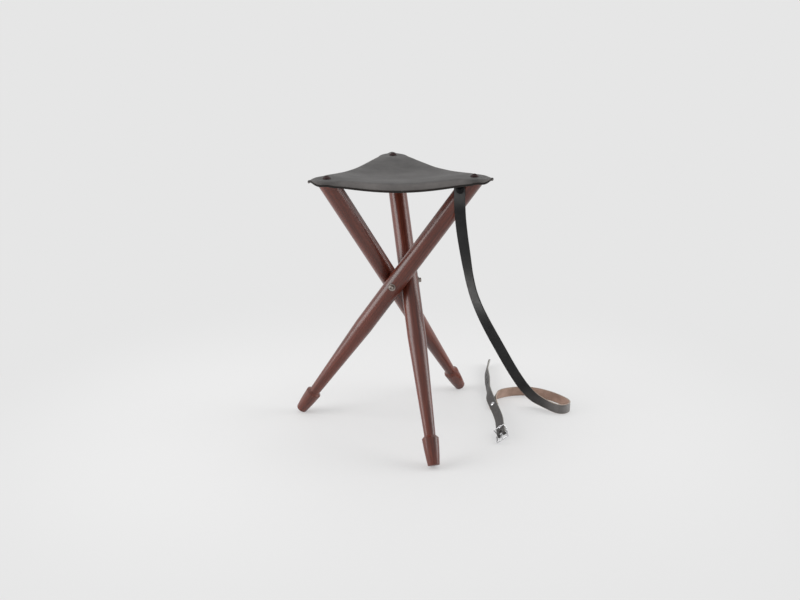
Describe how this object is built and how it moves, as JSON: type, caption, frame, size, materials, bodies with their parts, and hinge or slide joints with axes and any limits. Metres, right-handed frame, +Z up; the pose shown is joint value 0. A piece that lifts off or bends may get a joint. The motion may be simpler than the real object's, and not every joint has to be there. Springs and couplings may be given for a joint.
{
  "type": "folding stool",
  "caption": "Folding stool with splayed turned wooden legs crossing at a central pivot, a sagging leather seat and a leather carrying strap with a buckled binding belt.",
  "frame": {"origin": "on the floor plane, under the stool's three-fold axis", "axes": "+Z up along the three-fold axis, +Y towards the back seat corner, +X to the right as seen in the picture"},
  "size_m": [0.549, 0.4631, 0.5037],
  "materials": {
    "leg_wood": "red-brown stain under satin lacquer",
    "seat_leather": "matt grey-black grain",
    "strap_leather": "black grain outside, brown flesh inside",
    "dark_screw": "dark brown oxide",
    "pivot_steel": "dull plated",
    "bright_metal": "bright nickel plate"
  },
  "bodies": {
    "hub": {"pivot_spider": "pivot_steel", "thrust_washer_back": "pivot_steel", "thrust_washer_left": "pivot_steel", "thrust_washer_right": "pivot_steel", "pivot_washer_back": "pivot_steel", "pivot_washer_left": "pivot_steel", "pivot_washer_right": "pivot_steel", "pivot_nut_back": "pivot_steel", "pivot_nut_left": "pivot_steel", "pivot_nut_right": "pivot_steel", "carry_strap": "strap_leather", "binding_belt": "strap_leather", "strap_rivet": "bright_metal", "belt_rivet": "bright_metal", "belt_keeper": "bright_metal"},
    "leg_back": {"leg_back": "leg_wood", "seat_screw_back": "dark_screw", "seat_cup_back": "dark_screw"},
    "leg_left": {"leg_left": "leg_wood", "seat_screw_left": "dark_screw", "seat_cup_left": "dark_screw"},
    "leg_right": {"leg_right": "leg_wood", "seat_screw_right": "dark_screw", "seat_cup_right": "dark_screw", "strap_screw": "dark_screw", "strap_cup": "dark_screw"},
    "seat": {"seat_middle": "seat_leather"},
    "seat_back": {"seat_corner_back": "seat_leather"},
    "seat_left": {"seat_corner_left": "seat_leather"},
    "seat_right": {"seat_corner_right": "seat_leather"},
    "buckle_frame": {"buckle_frame": "bright_metal"},
    "buckle_prong": {"buckle_prong": "bright_metal"}
  },
  "joints": [
    {"name": "leg_back_fold", "type": "hinge", "parent": "hub", "child": "leg_back", "pos_m": [0, 0, 0.28786], "axis": [0.9891, 0.1471, 0], "range_deg": [0, 28]},
    {"name": "leg_left_fold", "type": "hinge", "parent": "hub", "child": "leg_left", "pos_m": [0, 0, 0.28786], "axis": [-0.6219, 0.7831, 0], "range_deg": [0, 28]},
    {"name": "leg_right_fold", "type": "hinge", "parent": "hub", "child": "leg_right", "pos_m": [0, 0, 0.28786], "axis": [-0.3672, -0.9301, 0], "range_deg": [0, 28], "deforming": ["carry_strap"]},
    {"name": "seat_rise", "type": "slide", "parent": "hub", "child": "seat", "axis": [0, 0, 1], "range_m": [0, 0.09], "deforming": ["seat_middle"]},
    {"name": "seat_back_turn", "type": "hinge", "parent": "seat", "child": "seat_back", "pos_m": [-0.02654, 0.17852, 0.24286], "axis": [0.9891, 0.1471, 0], "range_deg": [0, 28], "deforming": ["seat_corner_back"]},
    {"name": "seat_left_turn", "type": "hinge", "parent": "seat", "child": "seat_left", "pos_m": [-0.14133, -0.11225, 0.24286], "axis": [-0.6219, 0.7831, 0], "range_deg": [0, 28], "deforming": ["seat_corner_left"]},
    {"name": "seat_right_turn", "type": "hinge", "parent": "seat", "child": "seat_right", "pos_m": [0.16788, -0.06628, 0.24286], "axis": [-0.3672, -0.9301, 0], "range_deg": [0, 28], "deforming": ["seat_corner_right"]},
    {"name": "buckle_swing", "type": "hinge", "parent": "hub", "child": "buckle_frame", "pos_m": [0.1895, -0.093, 0.0104], "axis": [-0.7825, 0.0933, -0.6157], "range_deg": [0, 60]},
    {"name": "prong_swing", "type": "hinge", "parent": "buckle_frame", "child": "buckle_prong", "pos_m": [0.1895, -0.093, 0.0104], "axis": [-0.7825, 0.0933, -0.6157], "range_deg": [0, 60]}
  ],
  "couplings": [
    {"joint": "leg_back_fold", "follows": "leg_right_fold", "ratio": 1},
    {"joint": "leg_left_fold", "follows": "leg_right_fold", "ratio": 1},
    {"joint": "seat_rise", "follows": "leg_right_fold", "m_per_rad": 0.18416},
    {"joint": "seat_back_turn", "follows": "leg_right_fold", "ratio": 1},
    {"joint": "seat_left_turn", "follows": "leg_right_fold", "ratio": 1},
    {"joint": "seat_right_turn", "follows": "leg_right_fold", "ratio": 1}
  ]
}
